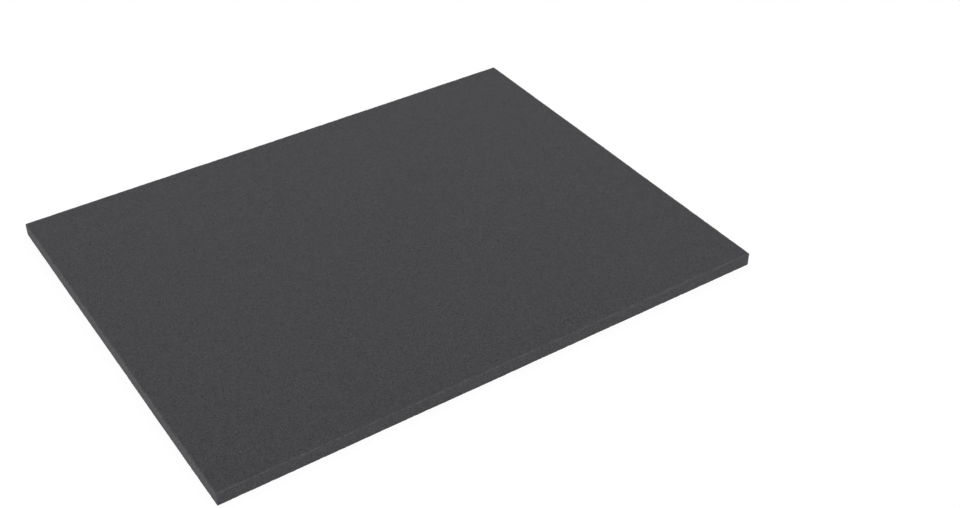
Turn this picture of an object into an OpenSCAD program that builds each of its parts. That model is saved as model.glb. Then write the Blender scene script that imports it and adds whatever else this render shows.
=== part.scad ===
// Foam base insert: a plain rectangular sheet of open-cell foam that lines the
// floor of a case, box or drawer. It is one piece, cut square all round.
// Millimetres, +Z up. The origin is the centre of the underside. X runs along
// the length and Y along the width, and the front edge is at -Y.

/* [Sheet] */
// Length of the sheet, from the left edge to the right edge
sheet_length = 420; // [200:5:800]
// Width of the sheet, from the front edge to the back edge
sheet_width = 320; // [150:5:600]
// Thickness of the sheet, as it is split from the foam block
sheet_thickness = 10; // [5:1:40]

/* [Cut edges] */
// Radius that the knife leaves round each face and down each corner
edge_ease = 0.3; // [0.1:0.1:2]

/* [Hidden] */
$fn = 48;

foam_grey = [0.285, 0.284, 0.293];

// What lies inside the eased band: both faces are flat up to this outline.
flat_length = sheet_length - 2 * edge_ease;
flat_width = sheet_width - 2 * edge_ease;
cut_height = sheet_thickness - 2 * edge_ease;

// Section of the eased band. X is the distance out from the flat outline and Y
// is the height above the underside: a straight cut between two quarter rounds.
module cut_edge_section() {
    intersection() {
        square([edge_ease, sheet_thickness]);
        union() {
            translate([0, edge_ease]) square([edge_ease, cut_height]);
            translate([0, edge_ease]) circle(r = edge_ease);
            translate([0, sheet_thickness - edge_ease]) circle(r = edge_ease);
        }
    }
}

// One straight edge of the sheet, which faces +X and is centred on Y.
module cut_edge(run) {
    translate([0, run / 2, 0])
        rotate([90, 0, 0])
            linear_extrude(height = run)
                cut_edge_section();
}

// One corner: the same section turned through a quarter circle, from +X to +Y.
module cut_corner() {
    rotate_extrude(angle = 90) cut_edge_section();
}

// The part of the sheet whose upper and lower faces are flat.
module flat_field() {
    translate([-flat_length / 2, -flat_width / 2, 0])
        cube([flat_length, flat_width, sheet_thickness]);
}

// The whole sheet: the flat field with the cut edge run round it.
module foam_sheet() {
    color(foam_grey)
        union() {
            flat_field();
            for (side = [0, 1]) {
                rotate([0, 0, 180 * side])
                    translate([flat_length / 2, 0, 0]) cut_edge(flat_width);
                rotate([0, 0, 90 + 180 * side])
                    translate([flat_width / 2, 0, 0]) cut_edge(flat_length);
            }
            for (x = [-1, 1], y = [-1, 1])
                translate([x * flat_length / 2, y * flat_width / 2, 0])
                    rotate([0, 0, atan2(y, x) - 45]) cut_corner();
        }
}

foam_sheet();
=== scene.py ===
"""The looks of the foam base insert: a flat sheet of dark grey open-cell foam.

The sheet is one closed mesh with the length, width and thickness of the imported
solid. Its faces were split from a block and its edges cut with a knife, so the
mesh has the slight swell of a split face, the ripple of a cut and the ragged
arris between them, and its finish has the cells of the foam. Lengths are in
metres unless a name says millimetres.
"""

import logging
import math
from dataclasses import dataclass, replace
from enum import Enum

import bpy
import numpy as np
from mathutils import Matrix, Vector, noise
from mathutils.geometry import delaunay_2d_cdt


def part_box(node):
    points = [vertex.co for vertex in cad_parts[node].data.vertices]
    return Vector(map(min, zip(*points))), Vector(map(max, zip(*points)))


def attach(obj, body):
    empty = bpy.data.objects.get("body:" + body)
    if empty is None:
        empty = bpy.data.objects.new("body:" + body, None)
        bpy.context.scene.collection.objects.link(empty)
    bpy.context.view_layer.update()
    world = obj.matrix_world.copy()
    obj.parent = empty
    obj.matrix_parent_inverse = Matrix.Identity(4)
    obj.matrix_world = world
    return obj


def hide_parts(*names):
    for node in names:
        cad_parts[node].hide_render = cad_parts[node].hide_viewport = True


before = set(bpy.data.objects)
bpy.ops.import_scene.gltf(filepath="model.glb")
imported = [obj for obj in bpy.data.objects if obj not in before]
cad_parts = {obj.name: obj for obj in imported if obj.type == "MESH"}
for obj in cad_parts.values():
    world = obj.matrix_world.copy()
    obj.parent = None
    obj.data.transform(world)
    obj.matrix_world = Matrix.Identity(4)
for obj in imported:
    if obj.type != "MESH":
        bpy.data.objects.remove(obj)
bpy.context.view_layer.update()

log = logging.getLogger("foam_base_insert")

MM = 0.001
BODY = "root"
NODE = "foam_sheet"
BAKE_MAP = "OFBake"
ARRIS = "arris"
# Points are one point where they lie within SAME_POINT or agree to SAME_DECIMALS.
SAME_POINT = 1e-7
SAME_DECIMALS = 9
NO_OFFSET = 1e-9


class Side(Enum):
    """The two split faces of the sheet, by the sign of their normal along Z."""

    LOWER = -1
    UPPER = 1


class Surface(Enum):
    """How a part of the sheet's skin was made. The value is its material slot."""

    SPLIT_FACE = 0
    CUT_EDGE = 1


# ---------------------------------------------------------------- node trees

Sockets = dict[str, bpy.types.NodeSocket]
Colour = tuple[float, float, float]


class Graph:
    """A node tree with short calls for adding nodes and joining them."""

    def __init__(self, tree: bpy.types.NodeTree) -> None:
        """Wraps a tree, which keeps the nodes it has."""
        self.tree = tree

    def add(self, kind: str, **settings: object) -> bpy.types.Node:
        """Adds a node and sets its properties.

        Args:
            kind: the node's type, such as "ShaderNodeMath".
            **settings: properties of the node, by name.

        Returns:
            The new node.
        """
        node = self.tree.nodes.new(kind)
        for name, value in settings.items():
            setattr(node, name, value)
        return node

    def feed(self, socket: bpy.types.NodeSocket, value: object) -> None:
        """Links a socket to another one, or sets it to a plain value."""
        if isinstance(value, bpy.types.NodeSocket):
            self.tree.links.new(value, socket)
        else:
            socket.default_value = value

    def math(self, operation: str, *values: object) -> bpy.types.NodeSocket:
        """A Math node.

        Args:
            operation: what it does, such as "MULTIPLY".
            *values: one number or socket for each input.

        Returns:
            The node's result.
        """
        node = self.add("ShaderNodeMath", operation=operation)
        for socket, value in zip(node.inputs, values):
            self.feed(socket, value)
        return node.outputs[0]

    def vector(self, operation: str, *values: object) -> bpy.types.NodeSocket:
        """A Vector Math node with the vectors given, and a scale as its last value for SCALE.

        Args:
            operation: what it does, such as "ADD".
            *values: a vector or socket for each input, and the scale after them.

        Returns:
            The resulting vector.
        """
        node = self.add("ShaderNodeVectorMath", operation=operation)
        sockets = list(node.inputs)
        if operation == "SCALE":
            sockets = [node.inputs["Vector"], node.inputs["Scale"]]
        for socket, value in zip(sockets, values):
            self.feed(socket, value)
        return node.outputs[0]

    def grey(self, value: object) -> bpy.types.NodeSocket:
        """A grey colour of that value."""
        node = self.add("ShaderNodeCombineColor")
        for socket in node.inputs:
            self.feed(socket, value)
        return node.outputs[0]

    def mixed(self, share: object, first: object, second: object) -> bpy.types.NodeSocket:
        """A colour between the first and the second, by share."""
        node = self.add("ShaderNodeMix", data_type="RGBA")
        # These are the places of the factor and the two colours among the node's many inputs.
        for index, value in ((0, share), (6, first), (7, second)):
            self.feed(node.inputs[index], value)
        return node.outputs[2]

    def ramp(
        self, value: object, low: object, high: object, start: float, end: float
    ) -> bpy.types.NodeSocket:
        """A smooth step.

        Args:
            value: what it is read at.
            low: where the step begins.
            high: where the step is over.
            start: the result below the step.
            end: the result above the step.

        Returns:
            The result.
        """
        node = self.add("ShaderNodeMapRange", interpolation_type="SMOOTHSTEP")
        labels = ("Value", "From Min", "From Max", "To Min", "To Max")
        for label, given in zip(labels, (value, low, high, start, end)):
            self.feed(node.inputs[label], given)
        return node.outputs[0]

    def voronoi(self, point: object, feature: str, output: str) -> bpy.types.NodeSocket:
        """A Voronoi texture with cells one unit across.

        Args:
            point: where it is read.
            feature: "F1" or "DISTANCE_TO_EDGE".
            output: the output wanted, "Distance" or "Color".

        Returns:
            That output.
        """
        node = self.add("ShaderNodeTexVoronoi", voronoi_dimensions="3D", feature=feature)
        self.feed(node.inputs["Vector"], point)
        node.inputs["Scale"].default_value = 1.0
        node.inputs["Randomness"].default_value = 1.0
        return node.outputs[output]

    def noise(self, point: object, detail: float, output: str = "Fac") -> bpy.types.NodeSocket:
        """A noise texture whose largest lumps are about one unit across.

        Args:
            point: where it is read.
            detail: how many finer layers are added.
            output: the output wanted, "Fac" or "Color".

        Returns:
            That output, from 0 to 1 with a middle of 0.5.
        """
        node = self.add("ShaderNodeTexNoise", noise_dimensions="3D")
        self.feed(node.inputs["Vector"], point)
        node.inputs["Scale"].default_value = 1.0
        node.inputs["Detail"].default_value = detail
        return node.outputs[output]


def node_group(
    name: str, inputs: dict[str, float], outputs: tuple[str, ...]
) -> tuple[Graph, Sockets, Sockets]:
    """Starts a shader node group of number sockets.

    Args:
        name: the group's name.
        inputs: the inputs' names, with their usual values.
        outputs: the outputs' names.

    Returns:
        The group's graph, its inputs by name, and the sockets to feed by name.
    """
    tree = bpy.data.node_groups.new(name, "ShaderNodeTree")
    number = "NodeSocketFloat"
    for label, value in inputs.items():
        socket = tree.interface.new_socket(name=label, in_out="INPUT", socket_type=number)
        socket.default_value = value
    for label in outputs:
        tree.interface.new_socket(name=label, in_out="OUTPUT", socket_type=number)
    graph = Graph(tree)
    taken = graph.add("NodeGroupInput").outputs
    given = graph.add("NodeGroupOutput").inputs
    return graph, {k: taken[k] for k in inputs}, {k: given[k] for k in outputs}


@dataclass(frozen=True)
class CellPattern:
    """The shader node group that draws the foam's cells.

    The struts are the walls of a three-dimensional cell pattern where the skin
    cuts it. Through each open cell the struts of the layer behind show, darker,
    which is painted shade in the cell. Here and there lies a larger pore, through
    which only those behind show, in darker painted shade still, or one of the knots
    where many struts meet, drawn lighter, partly as a painted glint.
    """

    name: str = "open_cell_grain"
    warp_cells: float = 2.6
    warp_reach: float = 0.55
    deep_scale: float = 1.22
    deep_shift: tuple[float, float, float] = (17.3, 5.9, 31.1)
    deep_share: float = 0.5
    pore_share: float = 0.4
    knot_shift: tuple[float, float, float] = (5.31, 2.77, 9.13)
    knot_glint_lift: float = 0.7
    spot_core: float = 0.7
    cell_depth: float = 0.35
    pore_depth: float = 0.7

    def build(self) -> bpy.types.NodeTree:
        """Builds the group.

        Returns:
            The group, with Strut and Tone for the colour and Height in metres for the bump.
        """
        graph, given, wanted = node_group(
            self.name,
            {
                "Cell Size": 0.6 * MM,
                "Strut Width": 0.2,
                "Cell Spread": 0.2,
                "Blotch Size": 12 * MM,
                "Blotch Spread": 0.05,
                "Relief": 0.2 * MM,
                "Spot Spacing": 2.4 * MM,
                "Spot Radius": 0.4 * MM,
            },
            ("Strut", "Tone", "Height"),
        )
        place = graph.add("ShaderNodeTexCoord").outputs["Object"]
        per_cell = graph.math("DIVIDE", 1.0, given["Cell Size"])
        straight = graph.vector("SCALE", place, per_cell)
        warp_place = graph.vector("SCALE", straight, 1 / self.warp_cells)
        stray = graph.noise(warp_place, detail=0.0, output="Color")
        stray = graph.vector("SUBTRACT", stray, (0.5, 0.5, 0.5))
        cells = graph.vector("ADD", straight, graph.vector("SCALE", stray, 2 * self.warp_reach))

        edge = graph.voronoi(cells, "DISTANCE_TO_EDGE", "Distance")
        near = graph.ramp(edge, 0.0, given["Strut Width"], 1.0, 0.0)
        # The layer behind is drawn weaker than the one in front, as painted shade in the cells.
        behind = graph.vector("ADD", graph.vector("SCALE", cells, self.deep_scale), self.deep_shift)
        deep_edge = graph.voronoi(behind, "DISTANCE_TO_EDGE", "Distance")
        far = graph.ramp(deep_edge, 0.0, given["Strut Width"], self.deep_share, 0.0)
        pore = self.spots(graph, place, given, (0.0, 0.0, 0.0))
        knot_glint = self.spots(graph, place, given, self.knot_shift)
        # In a pore the struts are drawn weaker still: painted shade in the pore.
        near = graph.math("MULTIPLY", near, graph.math("SUBTRACT", 1.0, pore))
        dimmed = graph.math("MULTIPLY_ADD", pore, self.pore_share - 1, 1.0)
        web = graph.math("MAXIMUM", near, graph.math("MULTIPLY", far, dimmed))
        graph.feed(wanted["Strut"], web)

        cell = graph.add("ShaderNodeSeparateColor")
        graph.feed(cell.inputs[0], graph.voronoi(cells, "F1", "Color"))
        uneven = graph.math("SUBTRACT", cell.outputs[0], 0.5)
        cell_tone = graph.math("MULTIPLY", uneven, given["Cell Spread"])
        per_blotch = graph.math("DIVIDE", 1.0, given["Blotch Size"])
        wide = graph.noise(graph.vector("SCALE", place, per_blotch), detail=2.0)
        blotch = graph.math("MULTIPLY", graph.math("SUBTRACT", wide, 0.5), given["Blotch Spread"])
        # The knots are drawn lighter: partly more struts meeting there, partly a painted glint.
        lift = graph.math("MULTIPLY", knot_glint, self.knot_glint_lift)
        tone = graph.math("ADD", graph.math("ADD", cell_tone, blotch), lift)
        graph.feed(wanted["Tone"], graph.math("ADD", 1.0, tone))

        pit = graph.math("MULTIPLY", pore, self.pore_depth)
        sunk = graph.math("MULTIPLY_ADD", cell.outputs[1], self.cell_depth, pit)
        raised = graph.math("SUBTRACT", web, sunk)
        graph.feed(wanted["Height"], graph.math("MULTIPLY", raised, given["Relief"]))
        return graph.tree

    def spots(
        self, graph: Graph, place: object, given: Sockets, shift: tuple[float, float, float]
    ) -> bpy.types.NodeSocket:
        """Round spots scattered through the foam and cut at any depth, so few show at full size.

        Args:
            graph: the group's graph.
            place: the point in the foam.
            given: the group's inputs, of which the spots' spacing and radius are used.
            shift: moves the whole scatter, in spacings.

        Returns:
            1 inside a spot and 0 outside.
        """
        per_spot = graph.math("DIVIDE", 1.0, given["Spot Spacing"])
        at = graph.vector("ADD", graph.vector("SCALE", place, per_spot), shift)
        distance = graph.voronoi(at, "F1", "Distance")
        radius = graph.math("MULTIPLY", given["Spot Radius"], per_spot)
        core = graph.math("MULTIPLY", radius, self.spot_core)
        return graph.ramp(distance, core, radius, 1.0, 0.0)


@dataclass(frozen=True)
class FrayedArrisHighlight:
    """The shader node group for the broken struts along an arris: partly lighter broken foam,
    partly a painted highlight along the arris.
    """

    name: str = "frayed_arris_highlight"
    fades_from: float = 0.35
    full_at: float = 0.65

    def build(self) -> bpy.types.NodeTree:
        """Builds the group.

        Returns:
            The group, whose Mask is where the broken struts and the painted highlight show.
        """
        usual = {"Patch Size": 3 * MM, "Broken": 0.6}
        graph, given, wanted = node_group(self.name, usual, ("Mask",))
        arris = graph.add("ShaderNodeAttribute", attribute_name=ARRIS).outputs["Fac"]
        place = graph.add("ShaderNodeTexCoord").outputs["Object"]
        per_patch = graph.math("DIVIDE", 1.0, given["Patch Size"])
        patch = graph.noise(graph.vector("SCALE", place, per_patch), detail=3.0)
        kept = graph.ramp(patch, self.fades_from, self.full_at, 0.0, 1.0)
        gap = graph.math("MULTIPLY", graph.math("SUBTRACT", 1.0, kept), given["Broken"])
        shown = graph.math("MULTIPLY", arris, graph.math("SUBTRACT", 1.0, gap))
        graph.feed(wanted["Mask"], shown)
        return graph.tree


# ------------------------------------------------------------------- finish


@dataclass(frozen=True)
class FoamFinish:
    """One finish of the foam. Colours are linear, and sizes in metres."""

    name: str
    # pore is the colour between the struts, painted shade inside the cells.
    pore: Colour
    strut: Colour
    # The lighter colour along an arris: partly broken struts, partly a painted highlight.
    frayed_highlight: Colour
    cell_size: float = 0.56 * MM
    strut_width: float = 0.24
    cell_spread: float = 0.8
    blotch_size: float = 9 * MM
    blotch_spread: float = 0.16
    relief: float = 0.22 * MM
    spot_spacing: float = 2.4 * MM
    spot_radius: float = 0.5 * MM
    bump: float = 0.6
    roughness: float = 1.0
    specular: float = 0.5
    sheen: float = 0.10
    sheen_roughness: float = 0.5
    fray_highlight_patch: float = 3 * MM
    fray_highlight_broken: float = 0.6
    fray_highlight_fill: float = 0.3

    def build(self, cells: bpy.types.NodeTree, arris: bpy.types.NodeTree) -> bpy.types.Material:
        """Makes the material.

        Args:
            cells: the group that draws the cells.
            arris: the group that draws the broken struts and the painted highlight along an arris.

        Returns:
            The material.
        """
        material = bpy.data.materials.new(self.name)
        material.use_nodes = True
        graph = Graph(material.node_tree)
        shader = graph.tree.nodes["Principled BSDF"]

        grain = graph.add("ShaderNodeGroup", node_tree=cells)
        for label, value in (
            ("Cell Size", self.cell_size),
            ("Strut Width", self.strut_width),
            ("Cell Spread", self.cell_spread),
            ("Blotch Size", self.blotch_size),
            ("Blotch Spread", self.blotch_spread),
            ("Relief", self.relief),
            ("Spot Spacing", self.spot_spacing),
            ("Spot Radius", self.spot_radius),
        ):
            grain.inputs[label].default_value = value
        arris_highlight = graph.add("ShaderNodeGroup", node_tree=arris)
        arris_highlight.inputs["Patch Size"].default_value = self.fray_highlight_patch
        arris_highlight.inputs["Broken"].default_value = self.fray_highlight_broken

        strut = grain.outputs["Strut"]
        # Between the struts the pore colour shows, painted shade inside the cells.
        colour = graph.mixed(strut, (*self.pore, 1), (*self.strut, 1))
        colour = graph.vector("SCALE", colour, grain.outputs["Tone"])
        # Along an arris the colour turns lighter: broken struts, and a painted highlight.
        bare = graph.math("MULTIPLY_ADD", strut, 1 - self.fray_highlight_fill, self.fray_highlight_fill)
        frayed_highlight = graph.math("MULTIPLY", arris_highlight.outputs["Mask"], bare)
        colour = graph.mixed(frayed_highlight, colour, (*self.frayed_highlight, 1))
        graph.feed(shader.inputs["Base Color"], colour)

        bump = graph.add("ShaderNodeBump")
        bump.inputs["Strength"].default_value = self.bump
        bump.inputs["Distance"].default_value = 1.0
        graph.feed(bump.inputs["Height"], grain.outputs["Height"])
        graph.feed(shader.inputs["Normal"], bump.outputs["Normal"])

        shader.inputs["Roughness"].default_value = self.roughness
        shader.inputs["Specular IOR Level"].default_value = self.specular
        shader.inputs["Sheen Weight"].default_value = self.sheen
        shader.inputs["Sheen Roughness"].default_value = self.sheen_roughness
        return material


# ------------------------------------------------------- parts of the sheet


@dataclass(frozen=True)
class BakeLayout:
    """Where the skin lies on its square bake map.

    From the bottom up: the cut edge in two strips, the lower face and the upper.
    """

    margin: float = 0.006
    strip: float = 0.018
    upper_share: float = 0.55

    def face_spot(self, side: Side, across: float, along: float) -> tuple[float, float]:
        """The place of a point of a split face.

        Args:
            side: which face.
            across: how far along X it is, from 0 to 1.
            along: how far along Y it is, from 0 to 1.

        Returns:
            Its place on the map.
        """
        bottom = 3 * self.margin + 2 * self.strip
        room = 1 - bottom - 2 * self.margin
        lower_height = room * (1 - self.upper_share)
        if side is Side.UPPER:
            bottom += lower_height + self.margin
            height = room * self.upper_share
        else:
            height = lower_height
        return self.margin + (1 - 2 * self.margin) * across, bottom + height * along

    def strip_face(
        self, start: float, end: float, low: float, high: float
    ) -> list[tuple[float, float]]:
        """The place of a face of the cut edge.

        Args:
            start: where it starts, as a share of the way round from 0 to 1.
            end: where it ends, as a share of the way round.
            low: how far up the section it starts, from 0 to 1.
            high: how far up the section it ends.

        Returns:
            The places of its four corners, counter-clockwise.
        """
        row = int(start >= 0.5)
        bottom = self.margin + row * (self.strip + self.margin)
        width = 1 - 2 * self.margin
        left, right = (self.margin + width * (2 * s - row) for s in (start, end))
        down, up = (bottom + self.strip * s for s in (low, high))
        return [(left, down), (right, down), (right, up), (left, up)]


@dataclass
class Pinholes:
    """Small voids that the split opened in one face, each a shallow bowl with a ragged rim.

    Each of its rings has a radius and a depth, as shares of the bowl's.
    """

    random: np.random.Generator
    half_length: float
    half_width: float
    count: int = 130
    radius: tuple[float, float] = (0.35 * MM, 0.75 * MM)
    depth_share: float = 0.9
    corners: int = 8
    rings: tuple[tuple[float, float], ...] = ((1.35, 0.0), (1.0, 0.05), (0.8, 0.6), (0.4, 0.95))
    raggedness: float = 0.18
    least_gap: float = 4.0 * MM
    room: float = 1.0 * MM

    def __post_init__(self) -> None:
        """Scatters the pinholes over the face, each clear of the others."""
        self.middles = np.empty((0, 2))
        half = np.array([self.half_length, self.half_width])
        while len(self.middles) < self.count:
            spot = self.random.uniform(-half, half)
            apart = np.linalg.norm(self.middles - spot, axis=1)
            if apart.min(initial=math.inf) > self.least_gap:
                self.middles = np.vstack([self.middles, spot])
        small, large = self.radius
        self.radii = small + (large - small) * self.random.random(self.count) ** 2

    def clear_of(self, points: np.ndarray) -> np.ndarray:
        """Those of the points that lie clear of every pinhole."""
        kept = np.ones(len(points), bool)
        outermost = self.rings[0][0]
        for middle, radius in zip(self.middles, self.radii):
            kept &= np.linalg.norm(points - middle, axis=1) > outermost * radius + self.room
        return points[kept]

    def points(self) -> tuple[np.ndarray, np.ndarray]:
        """The points of every bowl.

        Returns:
            Each point's place on the face, and how deep it lies.
        """
        turns = np.arange(self.corners) * 2 * math.pi / self.corners
        spots, depths = [], []
        for middle, radius in zip(self.middles, self.radii):
            ragged = 1 + self.random.uniform(-1, 1, self.corners) * self.raggedness
            for share, depth in self.rings:
                reach = (share * radius * ragged)[:, None]
                spots.append(middle + reach * np.stack([np.cos(turns), np.sin(turns)], 1))
                depths.append(np.full(self.corners, depth * radius * self.depth_share))
            spots.append(middle[None])
            depths.append(np.array([radius * self.depth_share]))
        return np.concatenate(spots), np.concatenate(depths)


@dataclass(frozen=True)
class SkinRelief:
    """How far the skin strays from a true box: out and in, and for nicks only in."""

    swell: float = 0.10 * MM
    swell_size: float = 75 * MM
    lump: float = 0.045 * MM
    lump_size: float = 11 * MM
    ripple: float = 0.05 * MM
    ripple_size: float = 2.2 * MM
    ripple_height: float = 30 * MM
    tooth: float = 0.022 * MM
    nick: float = 0.32 * MM
    nick_size: float = 1.6 * MM
    layer_shift: tuple[float, float, float] = (13.7, 41.9, 7.3)

    def lumps(
        self, points: np.ndarray, size: float | tuple[float, float, float], layer: int
    ) -> np.ndarray:
        """Smooth noise.

        Args:
            points: where it is read.
            size: how large its lumps are.
            layer: which of its layers is read, of which no two are alike.

        Returns:
            A value from -1 to 1 for each point.
        """
        shift = Vector(self.layer_shift) * layer
        return np.array([noise.noise(Vector(p) + shift) for p in points / size])

    def of(
        self, points: np.ndarray, cut: np.ndarray, arris: np.ndarray, random: np.random.Generator
    ) -> np.ndarray:
        """How far each point lies outside the true box.

        Args:
            points: the points.
            cut: 1 on the cut edge and 0 on a split face.
            arris: 1 on an arris, down to 0 away from it.
            random: where the roughness of single cells comes from.

        Returns:
            One distance for each point.
        """
        out = self.swell * self.lumps(points, self.swell_size, 1)
        out += self.lump * self.lumps(points, self.lump_size, 2)
        bladed = (self.ripple_size, self.ripple_size, self.ripple_height)
        out += cut * self.ripple * self.lumps(points, bladed, 3)
        out += self.tooth * (1 + cut) * random.uniform(-1, 1, len(points))
        nicked = np.clip(self.lumps(points, self.nick_size, 4), 0, None)
        return out - arris * self.nick * nicked


# -------------------------------------------------------------------- sheet


@dataclass
class FoamSheet:
    """The sheet: two split faces and the band of cut edge round them, in one closed mesh.

    Between the rim of a face and its middle lie rows of points, each with its inset
    from the rim and its pitch, so that the facets grow evenly.
    """

    low: Vector
    high: Vector
    split_finish: FoamFinish
    cut_finish: FoamFinish
    name: str = "foam_sheet_skin"
    layout: BakeLayout = BakeLayout()
    relief: SkinRelief = SkinRelief()
    ease: float = 0.3 * MM
    ease_steps: int = 2
    corner_steps: int = 4
    cut_pitch: float = 0.8 * MM
    rows_mm: tuple[tuple[float, float], ...] = ((0.8, 1.0), (1.8, 1.4), (3.2, 1.9), (5.1, 2.4))
    field_inset: float = 7.2 * MM
    field_shake: float = 0.2
    upper_pitch: float = 2.5 * MM
    lower_pitch: float = 4.0 * MM
    rim_row: float = 0.45 * MM
    split_reach: float = 1.2 * MM
    cut_reach: float = 0.5 * MM
    fill: float = 1.0
    seed: int = 7

    def __post_init__(self) -> None:
        """Works out the flat outline, which lies within the ease, and starts an empty skin."""
        self.flat_length = self.high.x - self.low.x - 2 * self.ease
        self.flat_width = self.high.y - self.low.y - 2 * self.ease
        self.thickness = self.high.z - self.low.z
        self.random = np.random.default_rng(self.seed)
        self.points = np.empty((0, 3))
        self.faces: list[tuple[int, ...]] = []
        self.surfaces: list[int] = []
        self.spots: list[tuple[float, float]] = []

    def stations(self) -> tuple[np.ndarray, np.ndarray]:
        """The stations round the flat outline, counter-clockwise seen from above.

        Returns:
            Each station's place on the flat outline, and the way out from there.
        """
        a, b = self.flat_length / 2, self.flat_width / 2
        corners = [Vector((a, -b)), Vector((a, b)), Vector((-a, b)), Vector((-a, -b))]
        bases, ways = [], []
        for i, start in enumerate(corners):
            end = corners[(i + 1) % len(corners)]
            run = end - start
            way = Vector((run.y, -run.x)).normalized()
            steps = round(run.length / self.cut_pitch)
            bases += [start + run * (k / steps) for k in range(steps + 1)]
            ways += [way] * (steps + 1)
            for k in range(1, self.corner_steps):
                bases.append(end)
                ways.append(Matrix.Rotation(math.pi / 2 * k / self.corner_steps, 2) @ way)
        return np.array(bases), np.array(ways)

    def section(self) -> list[tuple[float, float]]:
        """The section of the cut edge.

        Returns:
            Its points from the lower face to the upper, as distance out and height.
        """
        turns = [math.pi / 2 * k / self.ease_steps for k in range(self.ease_steps + 1)]
        lower = [(self.ease * math.sin(t), self.ease * (1 - math.cos(t))) for t in turns]
        upper = [(out, self.thickness - height) for out, height in reversed(lower)]
        start, end = self.ease + self.rim_row, self.thickness - self.ease - self.rim_row
        steps = round((end - start) / self.cut_pitch)
        straight = [(self.ease, start + (end - start) * k / steps) for k in range(steps + 1)]
        return lower + straight + upper

    def add_points(self, points: np.ndarray) -> np.ndarray:
        """Adds points to the skin and returns their numbers."""
        self.points = np.vstack([self.points, points])
        return np.arange(len(self.points) - len(points), len(self.points))

    def add_face(
        self, corners: list[int], surface: Surface, spots: list[tuple[float, float]]
    ) -> None:
        """Adds a face to the skin, less any corner that is the same point as the one before.

        Args:
            corners: the numbers of its points, counter-clockwise seen from outside.
            surface: the surface that it belongs to.
            spots: its corners' places on the bake map.
        """
        kept = [i for i in range(len(corners)) if corners[i] != corners[i - 1]]
        self.faces.append(tuple(int(corners[i]) for i in kept))
        self.surfaces.append(surface.value)
        self.spots += [spots[i] for i in kept]

    def sweep_cut_edge(self) -> tuple[list[int], list[int]]:
        """Sweeps the section round the outline.

        Returns:
            The points along the rim of the lower face and of the upper, in order.
        """
        bases, ways = self.stations()
        rings = []
        for out, height in self.section():
            spots = bases + out * ways
            _, first, where = np.unique(
                spots.round(SAME_DECIMALS), axis=0, return_index=True, return_inverse=True
            )
            level = np.full(len(first), self.low.z + height)
            rings.append(self.add_points(np.column_stack([spots[first], level]))[where.ravel()])
        count, rises = len(bases), len(rings) - 1
        for k, (ring, above) in enumerate(zip(rings, rings[1:])):
            for j in range(count):
                n = (j + 1) % count
                corners = [ring[j], ring[n], above[n], above[j]]
                spots = self.layout.strip_face(
                    j / count, (j + 1) / count, k / rises, (k + 1) / rises
                )
                self.add_face(corners, Surface.CUT_EDGE, spots)
        return list(dict.fromkeys(rings[0].tolist())), list(dict.fromkeys(rings[-1].tolist()))

    def inset_row(self, inset: float, pitch: float) -> np.ndarray:
        """Points round a rectangle that lies that far inside the flat outline."""
        a, b = self.flat_length / 2 - inset, self.flat_width / 2 - inset
        across = np.linspace(-a, a, round(2 * a / pitch), endpoint=False)
        along = np.linspace(-b, b, round(2 * b / pitch), endpoint=False)
        front = np.column_stack([across, np.full(len(across), -b)])
        right = np.column_stack([np.full(len(along), a), along])
        return np.concatenate([front, right, -front, -right])

    def field_points(self, pitch: float) -> np.ndarray:
        """Points over the middle of a face, on a triangular grid that is shaken a little."""
        a, b = self.flat_length / 2 - self.field_inset, self.flat_width / 2 - self.field_inset
        rows = np.linspace(-b, b, round(2 * b / (pitch * math.sin(math.pi / 3))))
        x, y = np.meshgrid(np.arange(-a, a, pitch), rows)
        x[1::2] += pitch / 2
        grid = np.column_stack([x.ravel(), y.ravel()])
        grid = grid[grid[:, 0] <= a]
        return grid + self.random.uniform(-self.field_shake, self.field_shake, grid.shape) * pitch

    def fill_face(self, side: Side, rim: list[int], pitch: float) -> None:
        """Fills one split face inside its rim.

        Args:
            side: which face.
            rim: the points along its rim, counter-clockwise seen from above.
            pitch: how far apart the points in the middle are.
        """
        half_length, half_width = self.flat_length / 2, self.flat_width / 2
        pits = Pinholes(self.random, half_length - self.field_inset, half_width - self.field_inset)
        rows = [self.inset_row(inset * MM, spacing * MM) for inset, spacing in self.rows_mm]
        loose = np.concatenate([*rows, pits.clear_of(self.field_points(pitch))])
        bowls, depths = pits.points()
        inner = np.concatenate([loose, bowls])
        dips = np.concatenate([np.zeros(len(loose)), depths])
        level = self.high.z if side is Side.UPPER else self.low.z
        spots = np.concatenate([self.points[rim][:, :2], inner])
        added = self.add_points(np.column_stack([inner, level - side.value * dips]))
        numbers = np.concatenate([rim, added])
        ring = list(range(len(rim)))
        fence = list(zip(ring, ring[1:] + ring[:1]))
        # The 1 keeps the triangles inside the fence, and no others.
        _, _, triangles, sources, _, _ = delaunay_2d_cdt(
            [Vector(p) for p in spots], fence, [], 1, SAME_POINT
        )
        shares = (spots - np.array(self.low.xy)) / np.array((self.high - self.low).xy)
        for triangle in triangles:
            corners = [sources[v][0] for v in triangle][:: side.value]
            places = [self.layout.face_spot(side, *shares[c]) for c in corners]
            self.add_face([numbers[c] for c in corners], Surface.SPLIT_FACE, places)

    def arris_weights(self, cut: np.ndarray) -> np.ndarray:
        """How far each point belongs to an arris.

        Args:
            cut: 1 on the cut edge and 0 on a split face, where an arris reaches further in.

        Returns:
            For each point, 1 on an arris, down to 0 at the arris's reach from it.
        """
        half = np.array(self.high - self.low) / 2
        past = self.points - np.array(self.low + self.high) / 2
        inside = np.sort(half - np.abs(past), axis=1)
        corner_gap = self.ease * (math.sqrt(2) - 1)
        reach = self.split_reach + (self.cut_reach - self.split_reach) * cut
        return np.clip(1 - (np.hypot(inside[:, 0], inside[:, 1]) - corner_gap) / reach, 0, 1)

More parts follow.
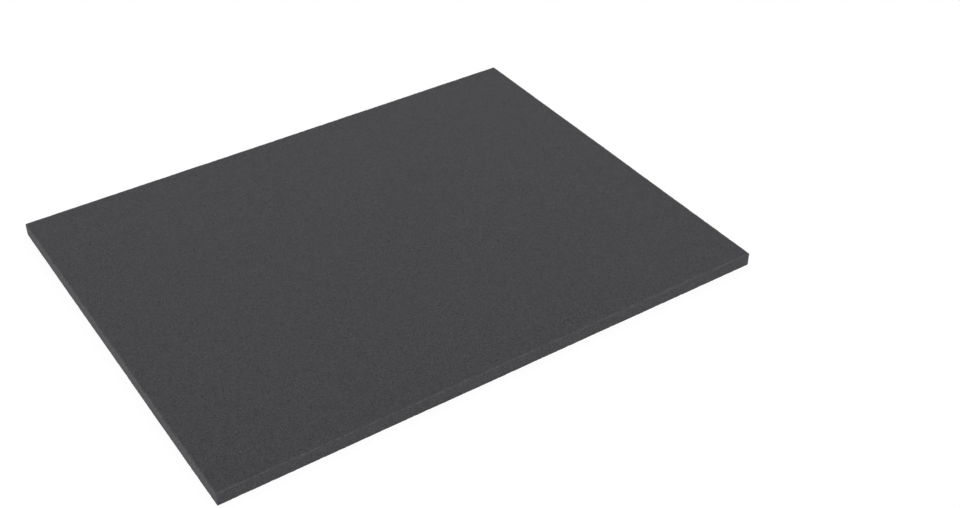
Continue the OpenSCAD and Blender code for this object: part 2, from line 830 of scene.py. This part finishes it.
    def outward(self) -> np.ndarray:
        """The way out at each point: square to the faces and edges, and slanted on the ease."""
        half = np.array(self.high - self.low) / 2 - self.ease
        past = self.points - np.array(self.low + self.high) / 2
        ways = np.sign(past) * np.clip(np.abs(past) - half, 0, None)
        deep = np.abs(ways).max(1) < NO_OFFSET
        ways[deep, 2] = np.sign(past[deep, 2])
        return ways / np.linalg.norm(ways, axis=1, keepdims=True)

    def skin(self) -> bpy.types.Mesh:
        """Builds the closed mesh, with its bake map and the weights of the arris.

        Returns:
            The mesh.
        """
        lower_rim, upper_rim = self.sweep_cut_edge()
        self.fill_face(Side.LOWER, lower_rim, self.lower_pitch)
        self.fill_face(Side.UPPER, upper_rim, self.upper_pitch)
        ways = self.outward()
        cut = 1 - np.abs(ways[:, 2])
        arris = self.arris_weights(cut)
        strays = self.relief.of(self.points, cut, arris, self.random)
        points = self.points + ways * strays[:, None]
        points[:, 2] = np.maximum(points[:, 2], self.low.z)
        mesh = bpy.data.meshes.new(self.name)
        mesh.from_pydata(points.tolist(), [], self.faces)
        mesh.polygons.foreach_set("material_index", self.surfaces)
        mesh.shade_smooth()
        mesh.uv_layers.new(name=BAKE_MAP).data.foreach_set("uv", np.array(self.spots).ravel())
        mesh.attributes.new(ARRIS, "FLOAT", "POINT").data.foreach_set("value", arris)
        return mesh

    def build(self) -> bpy.types.Object:
        """Makes the sheet, dresses it and stands it in for its solid.

        Returns:
            The sheet's object.
        """
        piece = bpy.data.objects.new(self.name, self.skin())
        bpy.context.scene.collection.objects.link(piece)
        cells, arris = CellPattern().build(), FrayedArrisHighlight().build()
        for finish in (self.split_finish, self.cut_finish):
            piece.data.materials.append(finish.build(cells, arris))
        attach(piece, BODY)
        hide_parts(NODE)
        return piece


# ------------------------------------------------------------------- studio


@dataclass(frozen=True)
class Softbox:
    """A square lamp that points at the middle of the sheet.

    At a level of 1, a white surface square to it renders as plain white.
    """

    name: str
    azimuth: float
    elevation: float
    distance: float
    width: float
    level: float

    def place(self) -> None:
        """Adds the lamp. The azimuth is that of the way to the lamp, from +X towards +Y."""
        turn, rise = math.radians(self.azimuth), math.radians(self.elevation)
        level_share = math.cos(rise)
        way = Vector((level_share * math.cos(turn), level_share * math.sin(turn), math.sin(rise)))
        lamp = bpy.data.lights.new(self.name, "AREA")
        lamp.shape = "SQUARE"
        lamp.size = self.width
        lamp.energy = self.level * (math.pi * self.distance) ** 2
        stand = bpy.data.objects.new(self.name, lamp)
        stand.location = way * self.distance
        stand.rotation_euler = way.to_track_quat("Z", "Y").to_euler()
        bpy.context.scene.collection.objects.link(stand)


@dataclass(frozen=True)
class Studio:
    """A white sweep under soft light, and the camera.

    To the camera, a mirror or clear glass, the floor shows its own even glow and takes
    only a share of the light that falls on it, so that it is white with a faint shadow.
    All other light meets a plain pale floor.
    """

    softboxes: tuple[Softbox, ...] = (
        Softbox("key_softbox", azimuth=231, elevation=33, distance=3.0, width=2.0, level=0.35),
    )
    zenith: float = 0.67
    horizon: float = 0.78
    floor_size: float = 14.0
    floor_gap: float = 0.05 * MM
    floor_grey: float = 0.9
    floor_glow: float = 0.89
    shadow_share: float = 0.14
    camera_place: tuple[float, float, float] = (-0.4022, -0.6993, 0.6104)
    camera_azimuth: float = 33.383
    camera_dip: float = 37.348
    lens: float = 51.92
    lens_shift: float = 0.0316

    @staticmethod
    def seen(graph: Graph) -> bpy.types.NodeSocket:
        """1 for a ray that shows the background: from the camera, or by a mirror or clear glass."""
        path = graph.add("ShaderNodeLightPath")
        seen = graph.math("MAXIMUM", path.outputs["Is Camera Ray"], path.outputs["Is Glossy Ray"])
        return graph.math("MAXIMUM", seen, path.outputs["Is Transmission Ray"])

    def hang_sky(self) -> None:
        """Lights the set from all round, a little more from low down, and shows white."""
        world = bpy.data.worlds.new("studio_sky")
        world.use_nodes = True
        bpy.context.scene.world = world
        graph = Graph(world.node_tree)
        sky = graph.tree.nodes["Background"]
        sky.inputs["Color"].default_value = (1, 1, 1, 1)
        way = graph.add("ShaderNodeSeparateXYZ")
        graph.feed(way.inputs[0], graph.add("ShaderNodeTexCoord").outputs["Generated"])
        height = graph.math("ABSOLUTE", way.outputs["Z"])
        level = graph.math("MULTIPLY_ADD", height, self.zenith - self.horizon, self.horizon)
        to_white = graph.math("SUBTRACT", 1.0, level)
        shown = graph.math("MULTIPLY_ADD", self.seen(graph), to_white, level)
        graph.feed(sky.inputs["Strength"], shown)

    def lay_floor(self, level: float) -> None:
        """Lays the floor a hair below the sheet, so that no two faces lie in one plane.

        Args:
            level: the height of the sheet's lowest points.
        """
        half, top = self.floor_size / 2, level - self.floor_gap
        corners = [(-half, -half, top), (half, -half, top), (half, half, top), (-half, half, top)]
        mesh = bpy.data.meshes.new("studio_floor")
        mesh.from_pydata(corners, [], [(0, 1, 2, 3)])
        floor = bpy.data.objects.new("studio_floor", mesh)
        bpy.context.scene.collection.objects.link(floor)
        material = bpy.data.materials.new("white_sweep")
        material.use_nodes = True
        graph = Graph(material.node_tree)
        shader = graph.tree.nodes["Principled BSDF"]
        darker = self.shadow_share - self.floor_grey
        grey = graph.math("MULTIPLY_ADD", self.seen(graph), darker, self.floor_grey)
        graph.feed(shader.inputs["Base Color"], graph.grey(grey))
        shader.inputs["Specular IOR Level"].default_value = 0.0
        shader.inputs["Roughness"].default_value = 1.0
        shader.inputs["Emission Color"].default_value = (1, 1, 1, 1)
        glow = graph.math("MULTIPLY", self.seen(graph), self.floor_glow)
        graph.feed(shader.inputs["Emission Strength"], glow)
        mesh.materials.append(material)

    def set_camera(self) -> None:
        """Sets the camera, level from side to side."""
        camera = bpy.data.cameras.new("camera")
        camera.lens = self.lens
        camera.shift_x = self.lens_shift
        stand = bpy.data.objects.new("camera", camera)
        stand.location = self.camera_place
        tilt = math.radians(90 - self.camera_dip)
        stand.rotation_euler = (tilt, 0, -math.radians(self.camera_azimuth))
        bpy.context.scene.collection.objects.link(stand)
        bpy.context.scene.camera = stand

    def build(self, level: float) -> None:
        """Sets up the whole studio under an object whose lowest points lie at that level."""
        bpy.context.scene.view_settings.view_transform = "Standard"
        self.set_camera()
        self.hang_sky()
        self.lay_floor(level)
        for softbox in self.softboxes:
            softbox.place()


# --------------------------------------------------------------------- main

SPLIT_FOAM = FoamFinish(
    name="split_foam",
    # The colour between the struts is painted shade inside the cells.
    pore=(0.0084, 0.0083, 0.0093),
    strut=(0.0609, 0.0599, 0.0679),
    # The lighter colour along an arris, partly a painted highlight.
    frayed_highlight=(0.117, 0.116, 0.124),
)
# The knife leaves the cells of an edge more open than the splitting blade leaves those of a face.
CUT_FOAM = replace(
    SPLIT_FOAM,
    name="cut_foam",
    # Its struts are a little darker than the split face's, as painted shade on the sides.
    strut=(0.0594, 0.0585, 0.0663),
    cell_spread=0.9,
    relief=0.26 * MM,
)


def main() -> None:
    """Builds the studio and the sheet, and reports each."""
    logging.basicConfig(level=logging.INFO, format="%(name)s: %(message)s")
    low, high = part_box(NODE)
    studio = Studio()
    studio.build(low.z)
    log.info("studio: floor %.2f mm below the sheet", studio.floor_gap / MM)
    sheet = FoamSheet(low, high, SPLIT_FOAM, CUT_FOAM)
    piece = sheet.build()
    mesh = piece.data
    mesh.calc_loop_triangles()
    points, triangles = len(mesh.vertices), len(mesh.loop_triangles)
    log.info("%s: %d points, %d triangles", piece.name, points, triangles)


if __name__ == "__main__":
    main()
